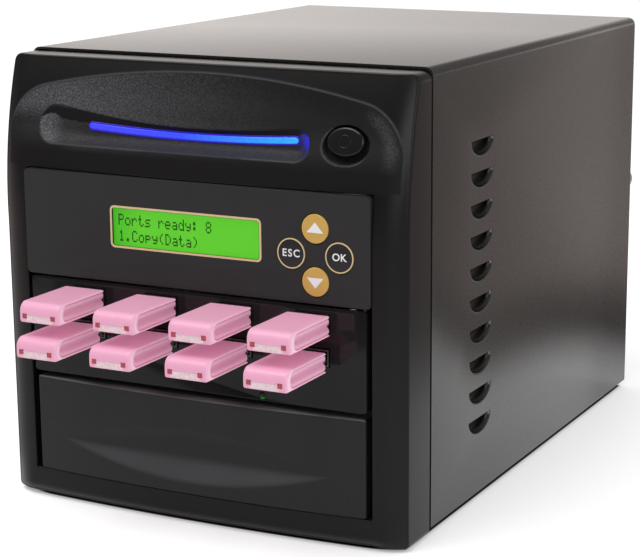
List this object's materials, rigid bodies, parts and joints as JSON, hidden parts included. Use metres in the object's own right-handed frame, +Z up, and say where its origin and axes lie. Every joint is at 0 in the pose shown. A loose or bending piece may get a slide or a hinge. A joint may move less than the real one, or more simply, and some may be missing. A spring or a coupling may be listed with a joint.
{
  "type": "usb flash drive duplicator",
  "caption": "Small steel tower with a moulded front: lit display and round keys above, rows of plugged-in flash drives below, a light bar, a power button and a blank bay cover.",
  "frame": {"origin": "on the surface it stands on, under the middle of the whole object's box", "axes": "+X to the right seen from the front, +Y from the front to the rear, +Z up"},
  "size_m": [0.1748, 0.298, 0.1778],
  "materials": {
    "cover_black_steel": "fine textured black powder coat, semi-gloss",
    "zinc_steel": "plain zinc-plated sheet, satin",
    "screw_steel": "nickel-plated, bright",
    "foot_rubber": "matt black rubber",
    "bezel_black": "black moulded plastic, smooth with a spark-textured recess",
    "blue_light": "clear bar lit blue from inside",
    "button_black": "satin black plastic",
    "switch_black": "plain black plastic",
    "overlay_grey": "dark grey satin overlay",
    "clear_pane": "clear pane",
    "lcd_green": "green backlit display",
    "key_gold": "gold print",
    "key_dark": "dark disc with a gold rim",
    "board_green": "green circuit board",
    "plate_gloss": "high-gloss black",
    "led_green": "green light",
    "port_steel": "tinned steel",
    "drive_pink": "satin pink plastic with a fine sparkle",
    "plug_steel": "plated steel",
    "blank_black": "semi-gloss black",
    "supply_steel": "zinc-plated sheet",
    "fan_black": "black plastic",
    "rotor_black": "satin black plastic",
    "guard_chrome": "bright wire",
    "inlet_black": "black plastic",
    "mains_black": "black plastic",
    "rocker_black": "gloss black plastic"
  },
  "bodies": {
    "case": {"outer_cover": "cover_black_steel", "rear_panel": "cover_black_steel", "base_tray": "zinc_steel", "front_frame": "zinc_steel", "bay_cage": "zinc_steel", "cover_screw_left": "screw_steel", "cover_screw_right": "screw_steel", "foot_front_left": "foot_rubber", "foot_front_right": "foot_rubber", "foot_rear_left": "foot_rubber", "foot_rear_right": "foot_rubber", "front_bezel": "bezel_black", "light_bar": "blue_light", "power_switch": "switch_black", "control_panel": "overlay_grey", "lcd_window": "clear_pane", "lcd_module": "lcd_green", "keypad_board": "board_green", "usb_hub_board": "board_green", "controller_board": "board_green", "usb_panel": "plate_gloss", "status_led": "led_green", "usb_socket_1": "port_steel", "usb_socket_2": "port_steel", "usb_socket_3": "port_steel", "usb_socket_4": "port_steel", "usb_socket_5": "port_steel", "usb_socket_6": "port_steel", "usb_socket_7": "port_steel", "usb_socket_8": "port_steel", "bay_cover": "blank_black", "power_supply": "supply_steel", "fan_frame": "fan_black", "fan_guard": "guard_chrome", "power_inlet": "inlet_black", "mains_switch_frame": "mains_black"},
    "power_button": {"power_button": "button_black"},
    "key_up": {"key_up": "key_gold"},
    "key_down": {"key_down": "key_gold"},
    "key_esc": {"key_esc": "key_dark"},
    "key_ok": {"key_ok": "key_dark"},
    "mains_rocker": {"mains_rocker": "rocker_black"},
    "fan_rotor": {"fan_rotor": "rotor_black"},
    "drive_1": {"drive_1_body": "drive_pink", "drive_1_plug": "plug_steel"},
    "drive_2": {"drive_2_body": "drive_pink", "drive_2_plug": "plug_steel"},
    "drive_3": {"drive_3_body": "drive_pink", "drive_3_plug": "plug_steel"},
    "drive_4": {"drive_4_body": "drive_pink", "drive_4_plug": "plug_steel"},
    "drive_5": {"drive_5_body": "drive_pink", "drive_5_plug": "plug_steel"},
    "drive_6": {"drive_6_body": "drive_pink", "drive_6_plug": "plug_steel"},
    "drive_7": {"drive_7_body": "drive_pink", "drive_7_plug": "plug_steel"},
    "drive_8": {"drive_8_body": "drive_pink", "drive_8_plug": "plug_steel"}
  },
  "joints": [
    {"name": "power_button_press", "type": "slide", "parent": "case", "child": "power_button", "axis": [0, 0.9745, -0.2243], "range_m": [0, 0.0016], "stiffness_N_per_m": 400, "springref_m": -0.001},
    {"name": "key_up_press", "type": "slide", "parent": "case", "child": "key_up", "axis": [0, 1, 0], "range_m": [0, 0.0007], "stiffness_N_per_m": 600, "springref_m": -0.0005},
    {"name": "key_down_press", "type": "slide", "parent": "case", "child": "key_down", "axis": [0, 1, 0], "range_m": [0, 0.0007], "stiffness_N_per_m": 600, "springref_m": -0.0005},
    {"name": "key_esc_press", "type": "slide", "parent": "case", "child": "key_esc", "axis": [0, 1, 0], "range_m": [0, 0.0007], "stiffness_N_per_m": 600, "springref_m": -0.0005},
    {"name": "key_ok_press", "type": "slide", "parent": "case", "child": "key_ok", "axis": [0, 1, 0], "range_m": [0, 0.0007], "stiffness_N_per_m": 600, "springref_m": -0.0005},
    {"name": "drive_1_pull", "type": "slide", "parent": "case", "child": "drive_1", "axis": [0, -1, 0], "range_m": [0, 0.018]},
    {"name": "drive_2_pull", "type": "slide", "parent": "case", "child": "drive_2", "axis": [0, -1, 0], "range_m": [0, 0.018]},
    {"name": "drive_3_pull", "type": "slide", "parent": "case", "child": "drive_3", "axis": [0, -1, 0], "range_m": [0, 0.018]},
    {"name": "drive_4_pull", "type": "slide", "parent": "case", "child": "drive_4", "axis": [0, -1, 0], "range_m": [0, 0.018]},
    {"name": "drive_5_pull", "type": "slide", "parent": "case", "child": "drive_5", "axis": [0, -1, 0], "range_m": [-0.0031, 0.018]},
    {"name": "drive_6_pull", "type": "slide", "parent": "case", "child": "drive_6", "axis": [0, -1, 0], "range_m": [-0.0031, 0.018]},
    {"name": "drive_7_pull", "type": "slide", "parent": "case", "child": "drive_7", "axis": [0, -1, 0], "range_m": [-0.0031, 0.018]},
    {"name": "drive_8_pull", "type": "slide", "parent": "case", "child": "drive_8", "axis": [0, -1, 0], "range_m": [-0.0031, 0.018]},
    {"name": "mains_rocker_tip", "type": "hinge", "parent": "case", "child": "mains_rocker", "pos_m": [-0.045, 0.1404, 0.0322], "axis": [0, 0, 1], "range_deg": [-18, 0]},
    {"name": "fan_spin", "type": "hinge", "parent": "case", "child": "fan_rotor", "pos_m": [0.031, 0.1301, 0.0468], "axis": [0, 1, 0], "continuous": true}
  ]
}
